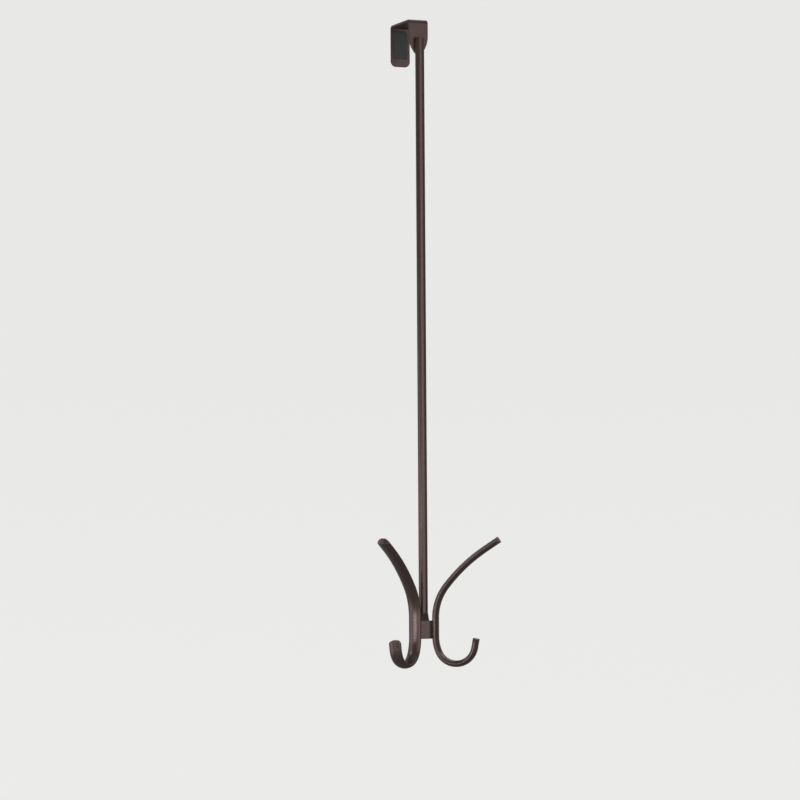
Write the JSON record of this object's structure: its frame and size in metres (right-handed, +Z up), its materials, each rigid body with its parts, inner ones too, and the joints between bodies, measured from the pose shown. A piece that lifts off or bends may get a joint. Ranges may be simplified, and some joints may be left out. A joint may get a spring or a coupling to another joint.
{
  "type": "over door hook",
  "caption": "Over-door hook with a folded strap bracket, a long round rod and splayed coat hooks bent from oval bar.",
  "frame": {"origin": "centre of the underside of the bracket's top plate, where it lies on the top of the door", "axes": "+Z up, +X to the right seen from the room, +Y through the door to its back"},
  "size_m": [0.1408, 0.1071, 0.6911],
  "materials": {
    "bronze_coat": "satin dark bronze powder coat",
    "foam_pad": "matt closed-cell foam",
    "soft_bumper": "matt soft rubber"
  },
  "bodies": {
    "root": {"door_bracket": "bronze_coat", "stem_rod": "bronze_coat", "cross_plate": "bronze_coat", "right_hook": "bronze_coat", "left_hook": "bronze_coat", "right_hook_weld": "bronze_coat", "left_hook_weld": "bronze_coat", "foot_welds": "bronze_coat", "rod_weld": "bronze_coat", "front_pad": "foam_pad", "back_pad": "foam_pad", "foot_bumper": "soft_bumper"}
  },
  "joints": []
}
